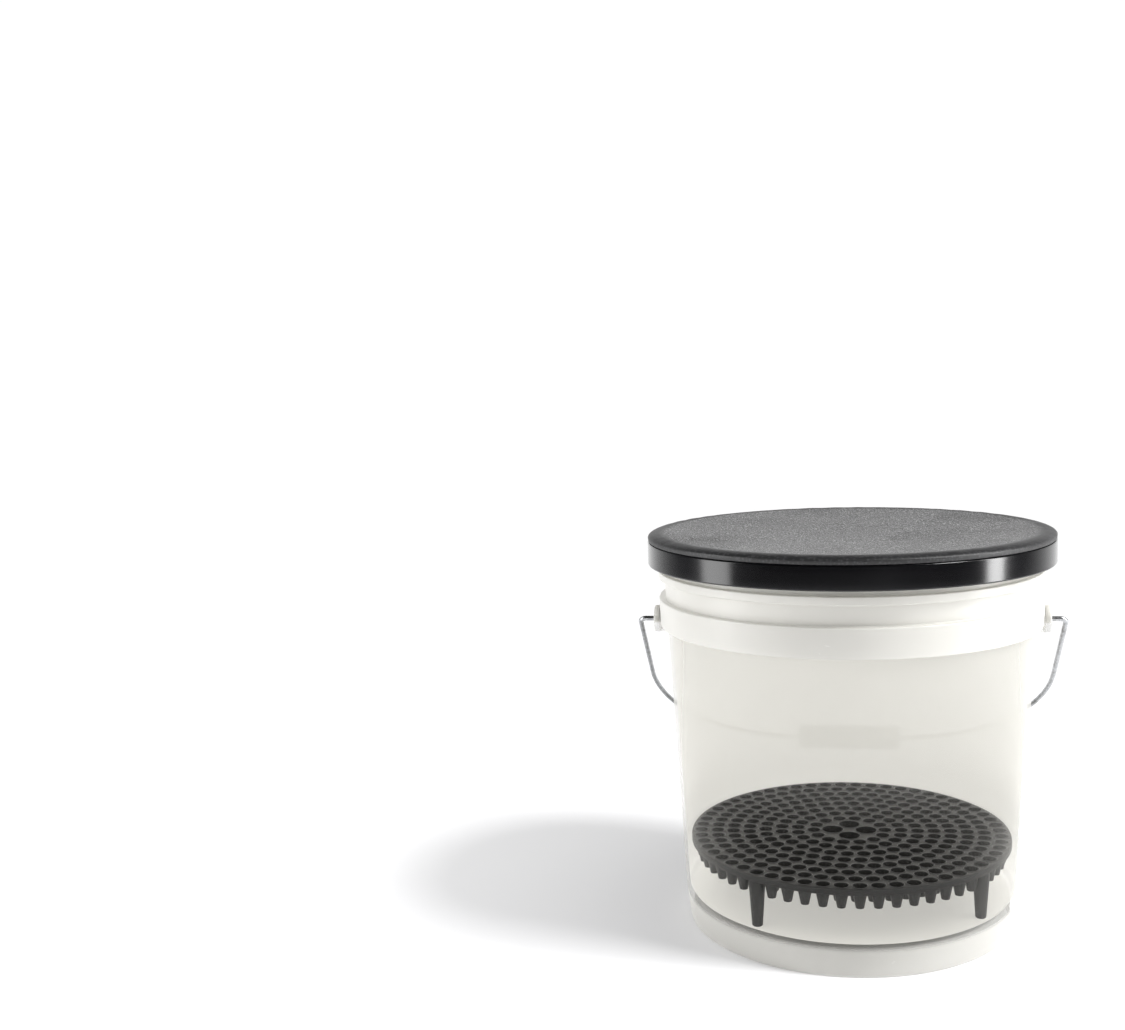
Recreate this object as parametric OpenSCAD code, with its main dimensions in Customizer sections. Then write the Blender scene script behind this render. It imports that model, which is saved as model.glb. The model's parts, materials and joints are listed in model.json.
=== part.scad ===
// Wash bucket: a tapered pail with a wire bail and a roller grip, a lift-out sediment guard with
// open cones on four legs, and a padded seat lid that plugs into the pail's mouth.
// Millimetres, +Z up, +X through the ears, +Y to the back. The origin is the middle of the foot.

/* [Pail] */
// Height from the ground to the top of the rim
pail_h = 300; // [280:1:330]
// Outside radius of the foot where it meets the ground
foot_r = 131.6; // [128:0.1:133]
// Outside radius of the wall, carried down to the ground
wall_base_r = 133.5; // [131:0.1:136]
// How far the wall leans out for each millimetre of height
draft = 0.05; // [0.03:0.005:0.06]
// Thickness of the wall
wall_t = 2.6; // [2:0.1:3.2]
// Height of the upper face of the floor
floor_z = 25; // [15:1:30]
// Thickness of the floor
floor_t = 3; // [2.4:0.1:4]
// Height of the collar's lower edge
collar_z = 245; // [240:1:250]
// Height of the collar band
collar_h = 23; // [18:1:26]
// How far the collar stands out from the wall
collar_out = 5.5; // [5:0.1:8]
// Height of the upper flange's lower edge
flange_z = 283.5; // [281:0.5:285]
// Height of the upper flange
flange_h = 6.5; // [4:0.5:8]
// How far the upper flange stands out from the wall
flange_out = 4.5; // [3:0.1:6]
// Outside radius of the rim
rim_r = 156; // [152:0.5:156.5]
// Height of the rim's lip
rim_h = 5; // [4:0.5:6]

/* [Ears and bail] */
// Height of the bail's pivot
pivot_z = 246; // [242:1:252]
// Radius of an ear's boss
ear_r = 11; // [9:0.5:13]
// Distance from the pail's axis to an ear's outer face
ear_x = 157.5; // [156:0.5:160]
// Diameter of the bail wire
wire_d = 4; // [3:0.1:5]
// Gap between the wire and its bores, on the radius
run_gap = 0.05; // [0.02:0.01:0.1]
// Distance from the pail's axis to the middle of the bail's straight sides
bail_half_w = 170; // [168:0.5:176]
// Distance from the pivot to the middle of the grip
bail_reach = 206; // [196:1:212]
// Radius of the bail's two large bends
bail_bend_r = 120; // [110:1:122]
// How far below level the bail hangs at rest
bail_rest = 43.2; // [42:0.1:43.2]
// Length of the roller grip
grip_len = 92; // [80:1:96]
// Diameter of the roller grip
grip_d = 22; // [18:0.5:22]

/* [Sediment guard] */
// Outside radius of the guard
guard_r = 130; // [124:0.5:130.5]
// Height of the guard's upper face above the pail's floor
guard_h = 43; // [36:1:48]
// Thickness of the guard's plate
plate_t = 3; // [2:0.1:4]
// Depth of the band round the guard's edge
edge_band_h = 5; // [4:0.5:7]
// Number of rings of cones
ring_n = 8; // [4:1:8]
// Radius of a cone's mouth
mouth_r = 5.6; // [5:0.05:5.7]
// Radius of a cone's open tip
tip_r = 2.3; // [2:0.1:3]
// Length of a cone from the upper face to its tip
cone_len = 17; // [12:0.5:20]
// Wall of a cone at its tip
cone_wall = 0.9; // [0.7:0.1:1]
// Radius of the four wells in the middle
well_r = 8.6; // [7:0.1:8.8]
// Depth of the four wells
well_len = 14; // [10:0.5:16]

/* [Seat lid] */
// Outside radius of the lid's skirt
lid_r = 160.5; // [160:0.5:162]
// Height of the skirt's lower edge
skirt_z = 295; // [293:0.5:296]
// Height of the skirt from its lower edge to its lip
skirt_h = 18; // [17:0.5:20]
// Thickness of the skirt and the plate
shell_t = 2.6; // [2:0.1:3]
// Thickness of the gasket
gasket_t = 2; // [1.5:0.1:3]
// How far the pad's centre lies below its rolled edge
dish = 5; // [2:0.5:5]
// Thickness of the cover
cover_t = 1; // [0.8:0.1:1.2]
// Thickness of the seat board
board_t = 3; // [2.5:0.1:3.5]
// Number of lid screws
screw_n = 4; // [3:1:6]
// Number of staples in the cover's folded edge
staple_n = 20; // [8:1:24]

/* [Hidden] */
$fn = 96;

// Pail
floor_fillet = 5;
lip_t = 2;
web_t = 2.4;
edge = 0.8;
foot_top = floor_z - floor_t;
collar_top = collar_z + collar_h;

// Ears
ear_inner_x = 144.4;
pocket_r = 4.4;
pocket_x = 147.4;
ear_plate_t = 4.5;
bore_r = wire_d / 2 + run_gap;

// Bail
wire_r = wire_d / 2;
pin_bend_r = 5;
head_r = 3.4;
head_t = 1.8;
head_x = 150.6;
side_len = bail_reach - bail_bend_r;
middle_half = bail_half_w - bail_bend_r;

// Grip
groove_n = 5;
groove_depth = 0.8;
groove_w = 4;
grip_chamfer = 2;

// Guard
guard_z = floor_z + guard_h;
ring_counts = [14, 21, 27, 34, 41, 47, 53, 56];
ring_start = 0.224;
ring_step = 0.102;
leg_every = 14;
leg_turn = 55;
leg_top_r = 7.2;
leg_end_r = 4.2;
leg_wall = 1.6;
leg_end_t = 4;
edge_band_t = 2;
cone_top_r = mouth_r + 0.6;
well_ring_r = 0.105 * guard_r;
well_wall = 0.8;
well_taper = 1;
through = 1;

// Lid
plate_z = pail_h + gasket_t;
plate_top = plate_z + shell_t;
lip_z = skirt_z + skirt_h;
plug_r = 144.2;
plug_t = 2.4;
plug_h = 12;
rib_n = 8;
rib_t = 2;
rib_h = 9;
hub_r = 16;
gasket_r1 = 146.5;
gasket_r2 = 154.5;

// Screws
screw_circle_r = 90;
screw_r = 2;
screw_head_r = 4;
screw_head_h = 2;
screw_gap = 0.03;
washer_r = 5.5;
washer_t = 1;
boss_r = 7;
boss_h = 3;
boss_z = plate_z - boss_h;

// Pad
pad_z = plate_top + 0.1;
board_z = pad_z + cover_t;
board_r = 150;
pad_r = lid_r - shell_t - 0.4;
roll_r = lid_r - 0.2;
roll_z = lip_z + 3.2;
pad_top = lip_z + 6.6;
crown_r = 151;
fold_r = 136;

// Staples
staple_wire = 0.6;
staple_w = 10;
staple_r = 142;
staple_leg = 2.4;

function wall_at(z) = wall_base_r + draft * z;
function inside_at(z) = wall_at(z) - wall_t;
floor_r = inside_at(floor_z) - floor_fillet;
function ring_at(k) = guard_r * (ring_start + ring_step * k);

// Points on an arc about (cx, cz) in the profile plane
function arc(cx, cz, r, from, to, steps) = [
    for (i = [0 : steps])
        let (a = from + (to - from) * i / steps)
        [cx + r * cos(a), cz + r * sin(a)]
];

// The wall, collar, upper flange and rim are one turned profile. The pail is one moulding, drawn as
// a wall, a floor and a foot that meet face to face.
pail_outside = [
    [wall_at(foot_top), foot_top],
    [wall_at(collar_top - web_t), collar_top - web_t],
    [wall_at(collar_top) + collar_out - lip_t, collar_top - web_t],
    [wall_at(collar_z) + collar_out - lip_t, collar_z],
    [wall_at(collar_z) + collar_out, collar_z],
    [wall_at(collar_top) + collar_out, collar_top - edge],
    [wall_at(collar_top) + collar_out - edge, collar_top],
    [wall_at(collar_top), collar_top],
    [wall_at(flange_z), flange_z],
    [wall_at(flange_z) + flange_out - edge, flange_z],
    [wall_at(flange_z) + flange_out, flange_z + edge],
    [wall_at(flange_z) + flange_out, flange_z + flange_h - edge],
    [wall_at(flange_z) + flange_out - edge, flange_z + flange_h],
    [wall_at(flange_z + flange_h), flange_z + flange_h],
    [wall_at(pail_h - web_t), pail_h - web_t],
    [rim_r - lip_t, pail_h - web_t],
    [rim_r - lip_t, pail_h - rim_h],
    [rim_r, pail_h - rim_h],
    [rim_r, pail_h - edge],
    [rim_r - edge, pail_h],
];
pail_inside = concat(
    [
        [inside_at(pail_h) + edge, pail_h],
        [inside_at(pail_h), pail_h - edge],
    ],
    arc(floor_r, floor_z + floor_fillet, floor_fillet, 0, -90, 4),
    [[floor_r, foot_top]]
);

module along_x() {
    rotate([0, 90, 0])
        children();
}

module ear_solid() {
    translate([ear_inner_x, 0, pivot_z])
        along_x()
            cylinder(h = ear_x - ear_inner_x, r = ear_r);
}

// The pocket behind an ear's plate is open below, where the wire's head goes in
module ear_hollow() {
    pocket_len = ear_x - ear_plate_t - pocket_x;
    translate([pocket_x, 0, pivot_z]) {
        along_x()
            cylinder(h = pocket_len, r = pocket_r);
        translate([0, -pocket_r, -ear_r - 1])
            cube([pocket_len, 2 * pocket_r, ear_r + 1]);
        along_x()
            cylinder(h = ear_x - pocket_x + 1, r = bore_r);
    }
}

module pail_floor() {
    color("ivory")
        translate([0, 0, foot_top])
            cylinder(h = floor_t, r = floor_r);
}

module pail_foot() {
    color("ivory")
        rotate_extrude()
            polygon([
                [foot_r - 1, 0],
                [foot_r, 1],
                [foot_r + 1.7, 12],
                [wall_at(foot_top), foot_top],
                [foot_r - wall_t, foot_top],
                [foot_r - wall_t - 1, 0],
            ]);
}

module pail_wall() {
    color("ivory")
        difference() {
            union() {
                rotate_extrude()
                    polygon(concat(pail_outside, pail_inside));
                ear_solid();
                mirror([1, 0, 0])
                    ear_solid();
            }
            ear_hollow();
            mirror([1, 0, 0])
                ear_hollow();
        }
}

// Places what is drawn in the bail's own plane: +Y runs from the pivot towards the grip
module on_bail() {
    translate([0, 0, pivot_z])
        rotate([-bail_rest, 0, 0])
            children();
}

module wire_bend(r, from) {
    rotate([0, 0, from])
        rotate_extrude(angle = 90)
            translate([r, 0])
                circle(wire_r);
}

module bail_half() {
    translate([head_x, 0, 0])
        along_x()
            cylinder(h = head_t, r = head_r);
    translate([head_x + head_t, 0, 0])
        along_x()
            cylinder(h = bail_half_w - pin_bend_r - head_x - head_t, r = wire_r);
    translate([bail_half_w - pin_bend_r, pin_bend_r, 0])
        wire_bend(pin_bend_r, -90);
    translate([bail_half_w, pin_bend_r, 0])
        rotate([-90, 0, 0])
            cylinder(h = side_len - pin_bend_r, r = wire_r);
    translate([middle_half, side_len, 0])
        wire_bend(bail_bend_r, 0);
}

module bail_wire() {
    color("silver")
        on_bail() {
            bail_half();
            mirror([1, 0, 0])
                bail_half();
            translate([-middle_half, bail_reach, 0])
                along_x()
                    cylinder(h = 2 * middle_half, r = wire_r);
        }
}

module grip() {
    r = grip_d / 2;
    color("black")
        on_bail()
            translate([-grip_len / 2, bail_reach, 0])
                along_x()
                    difference() {
                        rotate_extrude()
                            polygon([
                                [bore_r, 0],
                                [r - grip_chamfer, 0],
                                [r, grip_chamfer],
                                [r, grip_len - grip_chamfer],
                                [r - grip_chamfer, grip_len],
                                [bore_r, grip_len],
                            ]);
                        for (i = [1 : groove_n])
                            translate([0, 0, grip_len * i / (groove_n + 1) - groove_w / 2])
                                difference() {
                                    cylinder(h = groove_w, r = r + 1);
                                    cylinder(h = groove_w, r = r - groove_depth);
                                }
                    }
}

function is_leg(k, i) = k == ring_n - 1 && i % leg_every == 0;

// Repeats its children at every cone's place, or at every leg's
module at_cones(legs) {
    for (k = [0 : ring_n - 1])
        for (i = [0 : ring_counts[k] - 1])
            if (is_leg(k, i) == legs)
                rotate([0, 0, leg_turn + 360 * i / ring_counts[k]])
                    translate([ring_at(k), 0, guard_z])
                        children();
}

module at_wells(first) {
    for (turn = [first, first + 180])
        rotate([0, 0, turn])
            translate([well_ring_r, 0, guard_z])
                children();
}

module taper(len, end_r, top_r) {
    translate([0, 0, -len])
        cylinder(h = len, r1 = end_r, r2 = top_r);
}

// The same taper, but stopping halfway through the plate
module taper_skin(len, end_r, top_r) {
    share = plate_t / 2 / len;
    translate([0, 0, -len])
        cylinder(h = len - plate_t / 2, r1 = end_r, r2 = top_r + (end_r - top_r) * share);
}

module sediment_guard() {
    mouth_slope = (mouth_r - tip_r) / cone_len;
    color("dimgray")
        difference() {
            union() {
                translate([0, 0, guard_z - plate_t])
                    cylinder(h = plate_t, r = guard_r);
                translate([0, 0, guard_z - edge_band_h])
                    difference() {
                        cylinder(h = edge_band_h, r = guard_r);
                        translate([0, 0, -through])
                            cylinder(h = edge_band_h, r = guard_r - edge_band_t);
                    }
                at_cones(false)
                    taper_skin(cone_len, tip_r + cone_wall, cone_top_r);
                at_cones(true)
                    taper_skin(guard_h, leg_end_r, leg_top_r);
                at_wells(0)
                    taper_skin(well_len, well_r + well_wall - well_taper, well_r + well_wall);
                at_wells(90)
                    taper_skin(well_len, well_r + well_wall - well_taper, well_r + well_wall);
            }
            at_cones(false)
                taper(cone_len + through, tip_r - mouth_slope * through, mouth_r);
            at_cones(true)
                taper(guard_h - leg_end_t, leg_end_r - leg_wall, mouth_r);
            at_wells(90)
                taper(well_len + through, well_r - well_taper, well_r);
            at_wells(0)
                taper(well_len - 1, well_r - well_taper, well_r);
        }
}

module at_screws() {
    for (i = [0 : screw_n - 1])
        rotate([0, 0, 45 + 360 * i / screw_n])
            translate([screw_circle_r, 0, 0])
                children();
}

module lid_shell() {
    color("black")
        difference() {
            union() {
                rotate_extrude()
                    polygon([
                        [0, plate_z],
                        [plug_r - plug_t, plate_z],
                        [plug_r - plug_t, plate_z - plug_h],
                        [plug_r - 1, plate_z - plug_h],
                        [plug_r, plate_z - plug_h + 2],
                        [plug_r, plate_z],
                        [lid_r - shell_t, plate_z],
                        [lid_r - shell_t, skirt_z + edge],
                        [lid_r - shell_t + edge, skirt_z],
                        [lid_r - edge, skirt_z],
                        [lid_r, skirt_z + edge],
                        [lid_r, lip_z - edge],
                        [lid_r - edge, lip_z],
                        [lid_r - shell_t, lip_z],
                        [lid_r - shell_t, plate_top],
                        [0, plate_top],
                    ]);
                translate([0, 0, plate_z - rib_h])
                    cylinder(h = rib_h, r = hub_r);
                for (i = [0 : rib_n - 1])
                    rotate([0, 0, 360 * (i + 0.5) / rib_n])
                        translate([hub_r - 1, -rib_t / 2, plate_z - rib_h])
                            cube([plug_r - plug_t - hub_r + 2, rib_t, rib_h + 1]);
                translate([0, 0, boss_z])
                    at_screws()
                        cylinder(h = boss_h, r = boss_r);
            }
            translate([0, 0, plate_z - rib_h - 1])
                cylinder(h = rib_h - 1, r = hub_r - rib_t);
            translate([0, 0, boss_z - 1])
                at_screws()
                    cylinder(h = boss_h + shell_t + 2, r = screw_r + screw_gap);
        }
}

module ring(r1, r2, z, h) {
    translate([0, 0, z])
        difference() {
            cylinder(h = h, r = r2);
            translate([0, 0, -1])
                cylinder(h = h + 2, r = r1);
        }
}

module lid_gasket() {
    color("black")
        ring(gasket_r1, gasket_r2, pail_h, gasket_t);
}

module lid_screws() {
    color("silver")
        at_screws() {
            translate([0, 0, boss_z - washer_t - screw_head_h])
                difference() {
                    cylinder(h = screw_head_h, r = screw_head_r);
                    translate([0, 0, -0.1])
                        cylinder(h = 1.1, r = 1.6, $fn = 6);
                }
            translate([0, 0, boss_z - washer_t])
                cylinder(h = board_z + board_t - 0.5 - boss_z + washer_t, r = screw_r);
        }
}

module lid_washers() {
    color("silver")
        at_screws()
            ring(screw_r + screw_gap, washer_r, boss_z - washer_t, washer_t);
}

module seat_board() {
    color("peru")
        difference() {
            translate([0, 0, board_z])
                cylinder(h = board_t, r = board_r);
            translate([0, 0, board_z - 1])
                at_screws()
                    cylinder(h = board_t + 0.7, r = screw_r + screw_gap);
            at_staples()
                staple_legs(0.05);
        }
}

// The pad's upper surface: a dish inside the rolled edge, drawn inwards from the roll to the middle.
// `skin` is how far below the cover's outside the line runs.
function dish_line(skin) = [
    for (i = [0 : 10])
        let (r = crown_r * (1 - i / 10))
        [r, pad_top - skin - dish * (1 - pow(r / crown_r, 2))]
];

// The rolled edge: a quarter oval from its widest point up to the crown
function roll_line(skin) = [
    for (i = [0 : 7])
        let (a = 90 * i / 8)
        [
            crown_r + (roll_r - skin - crown_r) * cos(a),
            roll_z + (pad_top - skin - roll_z) * sin(a),
        ]
];

function pad_outline(skin) = concat(
    [
        [pad_r - skin, lip_z - 0.2],
        [pad_r - skin, lip_z + 0.3 + skin],
        [roll_r - 1 - skin, lip_z + 0.3 + skin],
    ],
    roll_line(skin),
    dish_line(skin)
);

module seat_cover() {
    inner = pad_outline(cover_t);
    color("black")
        difference() {
            rotate_extrude()
                polygon(concat(
                    [
                        [fold_r, pad_z],
                        [pad_r - 1, pad_z],
                        [pad_r, pad_z + 1],
                    ],
                    pad_outline(0),
                    [for (i = [len(inner) - 1 : -1 : 0]) inner[i]],
                    [
                        [pad_r - cover_t, board_z],
                        [fold_r, board_z],
                    ]
                ));
            at_staples()
                staple_crown(0.05);
        }
}

module seat_foam() {
    gap = cover_t + 0.05;
    color("khaki")
        difference() {
            rotate_extrude()
                polygon(concat(
                    [
                        [0, board_z + 0.05],
                        [pad_r - gap, board_z + 0.05],
                    ],
                    pad_outline(gap)
                ));
            translate([0, 0, board_z - 1])
                cylinder(h = board_t + 1.05, r = board_r + 0.05);
        }
}

module at_staples() {
    for (i = [0 : staple_n - 1])
        rotate([0, 0, 360 * (i + 0.5) / staple_n])
            translate([staple_r, 0, pad_z])
                children();
}

module staple_crown(gap) {
    translate([-staple_wire / 2 - gap, -staple_w / 2 - gap, -1])
        cube([staple_wire + 2 * gap, staple_w + 2 * gap, 1 + staple_wire]);
    staple_legs(gap);
}

module staple_legs(gap) {
    for (side = [-1, 1])
        translate([-staple_wire / 2 - gap, side * (staple_w - staple_wire) / 2 - staple_wire / 2 - gap, 0])
            cube([staple_wire + 2 * gap, staple_wire + 2 * gap, staple_leg + gap]);
}

module cover_staples() {
    color("silver")
        at_staples() {
            translate([-staple_wire / 2, -staple_w / 2, 0])
                cube([staple_wire, staple_w, staple_wire]);
            staple_legs(0);
        }
}

pail_wall();
pail_floor();
pail_foot();
bail_wire();
grip();
sediment_guard();
lid_shell();
lid_gasket();
lid_screws();
lid_washers();
seat_board();
seat_foam();
seat_cover();
cover_staples();
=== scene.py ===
"""Looks for a wash bucket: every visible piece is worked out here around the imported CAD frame.

The pail, the sediment guard, the bail, the roller grip, the lid shell and the seat pad are surfaces
computed with numpy. Small steel and rubber parts keep their CAD shape and take a finish.
"""

import json
import math

import bmesh
import bpy
import mathutils
import numpy as np
from bpy.props import FloatProperty, FloatVectorProperty, IntProperty, PointerProperty
from mathutils import Matrix, Vector


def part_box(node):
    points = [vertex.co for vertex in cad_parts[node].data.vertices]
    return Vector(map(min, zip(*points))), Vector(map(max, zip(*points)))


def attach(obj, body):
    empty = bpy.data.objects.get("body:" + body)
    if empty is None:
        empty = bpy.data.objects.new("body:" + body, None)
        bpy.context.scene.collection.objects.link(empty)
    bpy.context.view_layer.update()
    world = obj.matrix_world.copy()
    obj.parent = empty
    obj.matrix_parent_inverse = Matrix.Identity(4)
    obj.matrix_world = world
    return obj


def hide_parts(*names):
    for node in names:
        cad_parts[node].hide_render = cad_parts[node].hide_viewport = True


bl_info = {
    "name": "Wash bucket",
    "version": (1, 0, 0),
    "blender": (4, 5, 0),
    "location": "View3D > Sidebar > Wash bucket",
    "description": "Builds a wash bucket with a sediment guard and a seat lid",
    "category": "Add Mesh",
}

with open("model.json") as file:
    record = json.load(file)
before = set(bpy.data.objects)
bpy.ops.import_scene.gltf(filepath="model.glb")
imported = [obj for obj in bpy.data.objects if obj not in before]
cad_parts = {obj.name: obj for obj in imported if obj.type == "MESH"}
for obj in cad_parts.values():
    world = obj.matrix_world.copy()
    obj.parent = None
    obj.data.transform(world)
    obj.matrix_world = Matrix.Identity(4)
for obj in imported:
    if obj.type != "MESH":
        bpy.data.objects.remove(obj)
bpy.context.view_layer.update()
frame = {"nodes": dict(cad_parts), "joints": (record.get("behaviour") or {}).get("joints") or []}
MM = 0.001
TAU = 2 * math.pi

# Places that the frame gives, in metres
PAIL_NODES = ("pail_wall", "pail_floor", "pail_foot")
PAIL_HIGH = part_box("pail_wall")[1]
GUARD_LOW, GUARD_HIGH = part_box("sediment_guard")
SHELL_LOW, SHELL_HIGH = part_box("lid_shell")
GASKET_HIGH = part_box("lid_gasket")[1]
COVER_LOW, COVER_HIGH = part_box("seat_cover")
BOARD_LOW, BOARD_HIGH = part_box("seat_board")
GRIP_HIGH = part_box("grip")[1]
WIRE_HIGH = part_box("bail_wire")[1]
JOINT_AT = {joint["name"]: joint.get("pos_m") for joint in frame["joints"]}
PIVOT, GRIP_AT = JOINT_AT["bail_swing"], JOINT_AT["grip_roll"]
SKIRT_Z = 295 * MM

# The guard: places on each ring, and the rings' and wells' distances as parts of the guard's radius
RINGS = (14, 21, 27, 34, 41, 47, 53, 56)
RING_START, RING_STEP, WELL_RING = 0.224, 0.102, 0.105
RING_TURN = math.radians(55)

# The pad: radius of its highest line in millimetres, and points on the fold under the board
CROWN = 151
FOLD_POINTS = 4

# The pail: heights in metres where its haze begins, where it is fullest, and where the milky part is
HAZE_FROM, CLEAR_TOP, MILKY_FROM = 0.090, 0.2443, 0.2449


# ---------------- settings


def length_of(name, description, default):
    return FloatProperty(name=name, description=description, default=default, unit="LENGTH")


def colour_of(name, description, default):
    return FloatVectorProperty(name=name, description=description, default=default,
                               subtype="COLOR", size=3)


class PailSettings(bpy.types.PropertyGroup):
    foot_radius: length_of("Foot radius", "Outside radius of the foot at the ground", 131.6 * MM)
    wall_base_radius: length_of(
        "Wall radius at the ground", "Outside radius of the wall, carried down to the ground",
        133.5 * MM)
    draft: FloatProperty(
        name="Draft", description="How far the wall leans out for each metre of height",
        default=0.05)
    wall: length_of("Wall", "Thickness of the wall", 2.6 * MM)
    colour: colour_of("Colour", "Colour of the milky plastic", (0.70, 0.69, 0.65))
    around: IntProperty(
        name="Steps around", description="Number of faces round the pail",
        default=224, min=48)


class GuardSettings(bpy.types.PropertyGroup):
    mouth: length_of("Mouth", "Radius of a cone's mouth", 5.6 * MM)
    tip: length_of("Tip", "Radius of a cone's open tip", 2.3 * MM)
    length: length_of("Cone length", "From the upper face to a cone's tip", 17 * MM)
    colour: colour_of("Colour", "Colour of the guard's plastic", (0.032, 0.032, 0.034))


class BailSettings(bpy.types.PropertyGroup):
    wire: length_of("Wire", "Radius of the bail wire", 2 * MM)
    bend: length_of("Bend", "Radius of the two large bends", 120 * MM)
    colour: colour_of("Grip colour", "Colour of the roller grip", (0.022, 0.022, 0.024))


class LidSettings(bpy.types.PropertyGroup):
    thickness: length_of("Shell thickness", "Thickness of the skirt and the plate", 2.6 * MM)
    dish: length_of("Dish", "How far the pad's centre lies below its rolled edge", 5 * MM)
    colour: colour_of("Colour", "Colour of the pad's grained cover", (0.020, 0.020, 0.021))


class StudioSettings(bpy.types.PropertyGroup):
    distance: length_of(
        "Camera distance", "Level distance from the camera to the bucket's axis", 1.100)
    height: length_of("Camera height", "Height of the camera above the floor", 0.456)
    sun: FloatProperty(
        name="Key light", description="Strength of the soft key light from the right",
        default=2.15)
    key: FloatProperty(
        name="Side lights", description="Power of the two tall side lights in watts",
        default=26.0)


SETTINGS = {
    "bucket_pail": PailSettings,
    "bucket_guard": GuardSettings,
    "bucket_bail": BailSettings,
    "bucket_lid": LidSettings,
    "bucket_studio": StudioSettings,
}


# ---------------- surfaces


def rounded(points, radius, steps=3, closed=True):
    """An outline whose corners are eased.

    Each corner becomes a parabola that starts `radius` before it and ends `radius` after it, or
    less where the neighbouring side is short. `radius` is one number or one for each corner.
    """
    corner = np.asarray(points, float)
    before = np.roll(corner, 1, 0) - corner
    after = np.roll(corner, -1, 0) - corner
    reach = np.broadcast_to(np.asarray(radius, float), (len(corner),)).copy()
    if not closed:
        reach[[0, -1]] = 0
    far_before = np.maximum(np.linalg.norm(before, axis=1), 1e-9)
    far_after = np.maximum(np.linalg.norm(after, axis=1), 1e-9)
    start = corner + before * (np.minimum(reach, 0.45 * far_before) / far_before)[:, None]
    end = corner + after * (np.minimum(reach, 0.45 * far_after) / far_after)[:, None]
    t = np.linspace(0, 1, steps + 1)[None, :, None]
    curve = (1 - t) ** 2 * start[:, None] + 2 * t * (1 - t) * corner[:, None] + t**2 * end[:, None]
    keep = np.ones(curve.shape[:2], bool)
    keep[reach == 0, 1:] = False
    return curve[keep]


def arc(centre, radius, start, end, steps):
    """Points on a circle about `centre`, from the angle `start` to `end` in degrees."""
    a = np.radians(np.linspace(start, end, steps + 1))
    return np.stack([centre[0] + radius * np.cos(a), centre[1] + radius * np.sin(a)], 1)


def grid_faces(rows, columns, close_rows=False):
    """Quads of a rows x columns grid whose columns close on themselves."""
    r = np.arange(rows if close_rows else rows - 1)[:, None]
    c = np.arange(columns)[None, :]
    a, b = r * columns, (r + 1) % rows * columns
    d = (c + 1) % columns
    return np.stack([a + c, a + d, b + d, b + c], -1).reshape(-1, 4)


def turned(profile, around, closed=True):
    """A profile of (radius, height) points turned about +Z: x = r cos a, y = r sin a.

    A profile that runs anticlockwise in the (radius, height) plane gives faces that point outwards.
    """
    profile = np.asarray(profile, float)
    a = np.arange(around) * TAU / around
    r, z = profile[:, :1], profile[:, 1:]
    verts = np.stack([r * np.cos(a), r * np.sin(a), z + 0 * a], -1).reshape(-1, 3)
    return verts, grid_faces(len(profile), around, closed)


def copies(verts, faces, turns):
    """The same shape at each angle of `turns` about +Z, as one shape."""
    turns = np.asarray(turns, float)
    c, s = np.cos(turns)[:, None], np.sin(turns)[:, None]
    x = verts[None, :, 0] * c - verts[None, :, 1] * s
    y = verts[None, :, 0] * s + verts[None, :, 1] * c
    z = np.broadcast_to(verts[None, :, 2], x.shape)
    moved = np.stack([x, y, z], -1).reshape(-1, 3)
    shift = np.arange(len(turns))[:, None, None] * len(verts)
    return moved, (faces[None] + shift).reshape(-1, faces.shape[1])


def swept(path, across, side, radius, around):
    """A round section carried along a path that lies in one plane.

    point = path + radius (cos a * across + sin a * side), where `side` is the plane's normal.
    """
    a = np.arange(around) * TAU / around
    ring = across[:, None] * np.cos(a)[None, :, None] + side[None, None] * np.sin(a)[None, :, None]
    verts = path[:, None] + np.asarray(radius)[:, None, None] * ring
    return verts.reshape(-1, 3), grid_faces(len(path), around)


def joined(*shapes):
    """Several (verts, faces) shapes as one. A triangle has -1 as its fourth corner."""
    verts, faces, count = [], [], 0
    for v, f in shapes:
        verts.append(v)
        faces.append(np.where(f < 0, -1, f + count))
        count += len(v)
    return np.concatenate(verts), np.concatenate(faces)


def read(items, key, width=1, kind=np.float32):
    """A number, or a row of `width` numbers, from each of a mesh's items."""
    out = np.zeros(len(items) * width, kind)
    items.foreach_get(key, out)
    return out if width == 1 else out.reshape(-1, width)


def in_scene(name, data):
    """A new object in the scene."""
    made = bpy.data.objects.new(name, data)
    bpy.context.scene.collection.objects.link(made)
    return made


def make_piece(name, shape, body, materials, replaces=(), attributes=None, slots_of=None):
    """Makes a mesh object, closes its seams and poles, and gives it to a body and a slot.

    `attributes` holds one number for each vertex under each name. `slots_of` gives each face's
    material, by its middle point. Shading follows the faces' areas, so large faces stay flat
    beside small rounded edges.
    """
    verts, faces = shape
    mesh = bpy.data.meshes.new(name)
    mesh.vertices.add(len(verts))
    mesh.vertices.foreach_set("co", np.ascontiguousarray(verts, np.float32).ravel())
    used = faces >= 0
    sides = used.sum(1)
    mesh.loops.add(int(sides.sum()))
    mesh.loops.foreach_set("vertex_index", faces[used].astype(np.int32))
    mesh.polygons.add(len(faces))
    mesh.polygons.foreach_set("loop_start", (np.cumsum(sides) - sides).astype(np.int32))
    for key, values in (attributes or {}).items():
        layer = mesh.attributes.new(key, "FLOAT", "POINT")
        layer.data.foreach_set("value", np.ascontiguousarray(values, np.float32))
    mesh.update(calc_edges=True)

    work = bmesh.new()
    work.from_mesh(mesh)
    bmesh.ops.remove_doubles(work, verts=work.verts, dist=0.004 * MM)
    bmesh.ops.dissolve_degenerate(work, dist=0.001 * MM, edges=work.edges)
    work.to_mesh(mesh)
    work.free()

    for material in materials:
        mesh.materials.append(material)
    if slots_of is not None:
        index = slots_of(read(mesh.polygons, "center", 3)).astype(np.int32)
        mesh.polygons.foreach_set("material_index", index)
    shade_by_area(mesh)

    piece = in_scene(name, mesh)
    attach(piece, body)
    if replaces:
        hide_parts(*replaces)
    return piece


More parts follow.
